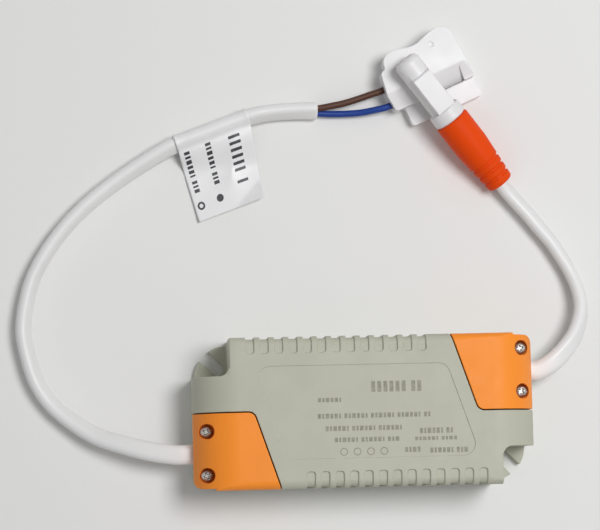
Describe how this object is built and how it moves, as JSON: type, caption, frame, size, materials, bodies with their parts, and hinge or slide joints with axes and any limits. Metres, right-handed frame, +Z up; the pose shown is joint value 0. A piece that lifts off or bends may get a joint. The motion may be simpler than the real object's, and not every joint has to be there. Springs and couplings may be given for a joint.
{
  "type": "led driver",
  "caption": "Flat plastic LED driver with screw-down orange end caps, slotted corner tabs, a mains lead ending in a terminal block and an output lead ending in a round plug.",
  "frame": {"origin": "middle of the housing's underside", "axes": "+X along the housing from its mains end to its output end, +Y across it towards the leads, +Z up out of its label side"},
  "size_m": [0.1983, 0.1593, 0.028],
  "materials": {
    "housing_grey": "finely eroded warm grey plastic",
    "cap_orange": "satin orange plastic",
    "screw_steel": "zinc-plated steel",
    "board_green": "solder resist",
    "terminal_white": "moulded nylon",
    "contact_brass": "stamped",
    "moulded_black": "moulded epoxy",
    "dipped_blue": "dipped epoxy",
    "box_yellow": "moulded box",
    "ferrite": "ground ferrite",
    "enamelled_wire": "enamelled copper",
    "can_sleeve": "shrunk sleeve",
    "sink_aluminium": "plain plate",
    "winding_tape": "polyester tape",
    "sheath_white": "satin white sheath",
    "core_brown": "insulated core",
    "core_blue": "insulated core",
    "core_red": "insulated core",
    "core_black": "insulated core",
    "tag_film": "coated paper",
    "connector_white": "moulded nylon",
    "boot_orange": "satin soft overmould"
  },
  "bodies": {
    "root": {"base_tray": "housing_grey", "top_cover": "housing_grey", "input_cap": "cap_orange", "output_cap": "cap_orange", "cap_screws": "screw_steel", "circuit_board": "board_green", "input_terminal": "terminal_white", "input_springs": "contact_brass", "output_terminal": "terminal_white", "output_springs": "contact_brass", "fuse": "moulded_black", "varistor": "dipped_blue", "film_capacitor": "box_yellow", "choke_core": "ferrite", "choke_windings": "enamelled_wire", "bridge_rectifier": "moulded_black", "bulk_capacitor": "can_sleeve", "controller_chip": "moulded_black", "power_transistor": "moulded_black", "heatsink": "sink_aluminium", "heatsink_screw": "screw_steel", "transformer_core": "ferrite", "transformer_bobbin": "moulded_black", "transformer_winding": "winding_tape", "safety_capacitor": "dipped_blue", "optocoupler": "terminal_white", "output_diode": "moulded_black", "output_inductor": "ferrite", "output_capacitors": "can_sleeve", "input_lead": "sheath_white", "line_core_end": "core_brown", "neutral_core_end": "core_blue", "line_core": "core_brown", "neutral_core": "core_blue", "lead_tag": "tag_film", "connector_body": "connector_white", "connector_springs": "contact_brass", "output_lead": "sheath_white", "plus_core_end": "core_red", "minus_core_end": "core_black", "plug_boot": "boot_orange", "plug_body": "connector_white", "plug_sockets": "contact_brass"}
  },
  "joints": []
}
